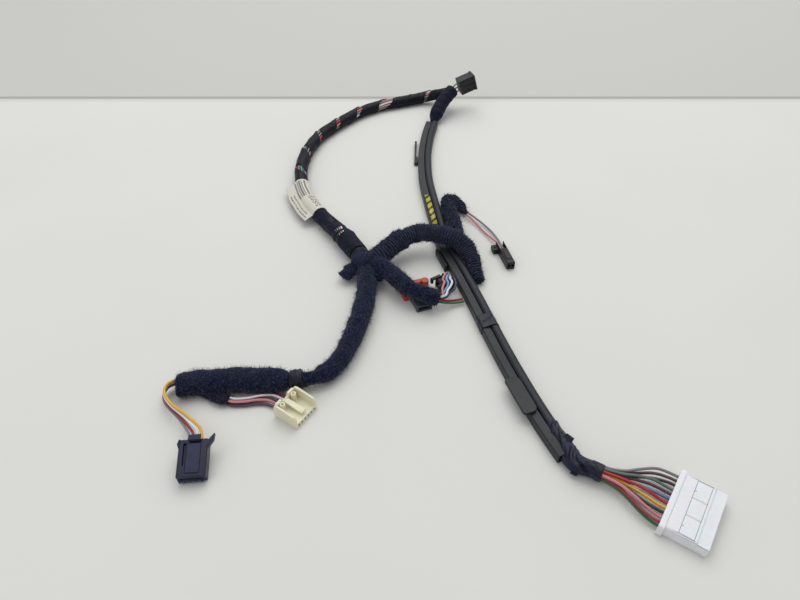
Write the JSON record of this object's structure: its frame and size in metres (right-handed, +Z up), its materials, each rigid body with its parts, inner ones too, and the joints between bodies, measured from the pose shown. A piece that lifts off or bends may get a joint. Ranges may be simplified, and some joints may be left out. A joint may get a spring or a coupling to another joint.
{
  "type": "wiring harness",
  "caption": "Vehicle wiring harness: taped trunk, fleece-wrapped branches, a plastic wire protector and keyed plugs on thin leads, laid out flat.",
  "frame": {"origin": "on the surface it lies on, under the middle of its footprint", "axes": "+Z up from the surface, +Y from the white plug towards the far plug, +X from the padded bundle towards the protector"},
  "size_m": [0.25, 0.4071, 0.0298],
  "materials": {
    "fleece_wrap": "napped fleece tape, almost black with a blue tint",
    "vinyl_tape": "creased adhesive tape with a soft shine",
    "protector_plastic": "moulded, slightly scuffed",
    "clip_plastic": "moulded",
    "white_nylon": "milky, softly shining",
    "navy_nylon": "moulded, satin",
    "cream_nylon": "milky, yellow in its depths",
    "black_nylon": "moulded, satin",
    "slate_nylon": "moulded, satin",
    "orange_nylon": "moulded, satin",
    "label_paper": "synthetic paper, handled",
    "label_bars": "printed yellow bars on black",
    "wire_grey": "thin wall insulation, satin",
    "wire_brown": "thin wall insulation, satin",
    "wire_black": "thin wall insulation, satin",
    "wire_green": "thin wall insulation, satin",
    "wire_violet": "thin wall insulation, satin",
    "wire_blue": "thin wall insulation, satin",
    "wire_red": "thin wall insulation, satin",
    "wire_yellow": "thin wall insulation, satin",
    "wire_pink": "thin wall insulation, satin",
    "wire_crimson": "thin wall insulation, satin",
    "wire_white": "thin wall insulation, satin",
    "wire_cream": "thin wall insulation, satin",
    "wire_leaf": "thin wall insulation, satin",
    "wire_sky": "thin wall insulation, satin",
    "wire_navy": "thin wall insulation, satin",
    "wire_teal": "thin wall insulation, satin"
  },
  "bodies": {
    "root": {"white_plug_housing": "white_nylon", "white_plug_lock": "white_nylon", "white_plug_wire_01": "wire_grey", "white_plug_wire_02": "wire_brown", "white_plug_wire_03": "wire_black", "white_plug_wire_04": "wire_green", "white_plug_wire_05": "wire_violet", "white_plug_wire_06": "wire_blue", "white_plug_wire_07": "wire_white", "white_plug_wire_08": "wire_red", "white_plug_wire_09": "wire_yellow", "white_plug_wire_10": "wire_black", "white_plug_wire_11": "wire_cream", "white_plug_wire_12": "wire_pink", "white_plug_wire_13": "wire_crimson", "white_plug_wire_14": "wire_leaf", "navy_plug_housing": "navy_nylon", "navy_plug_retainer": "navy_nylon", "navy_plug_wire_1": "wire_grey", "navy_plug_wire_2": "wire_crimson", "navy_plug_wire_3": "wire_white", "navy_plug_wire_4": "wire_yellow", "cream_plug_housing": "cream_nylon", "cream_plug_wire_1": "wire_violet", "cream_plug_wire_2": "wire_pink", "cream_plug_wire_3": "wire_brown", "cream_plug_wire_4": "wire_white", "cream_plug_wire_5": "wire_crimson", "small_plug_housing": "black_nylon", "small_plug_wire_1": "wire_grey", "small_plug_wire_2": "wire_pink", "far_plug_housing": "black_nylon", "far_plug_wire_1": "wire_teal", "far_plug_wire_2": "wire_grey", "far_plug_wire_3": "wire_pink", "hook_plug_housing": "black_nylon", "hook_plug_wire_1": "wire_navy", "hook_plug_wire_2": "wire_white", "hook_plug_wire_3": "wire_sky", "hook_plug_wire_4": "wire_pink", "protector_wire_1": "wire_red", "protector_wire_2": "wire_leaf", "lock_plug_housing": "slate_nylon", "lock_plug_slide": "orange_nylon", "main_trunk": "vinyl_tape", "junction_knot": "vinyl_tape", "down_branch": "fleece_wrap", "tie_band": "vinyl_tape", "pad": "fleece_wrap", "arch_branch": "fleece_wrap", "side_branch": "fleece_wrap", "twig": "fleece_wrap", "middle_branch": "fleece_wrap", "protector_core": "vinyl_tape", "wire_protector": "protector_plastic", "edge_clip": "clip_plastic", "lever_clip": "clip_plastic", "protector_tape": "vinyl_tape", "paper_label": "label_paper", "bar_label": "label_bars"}
  },
  "joints": []
}
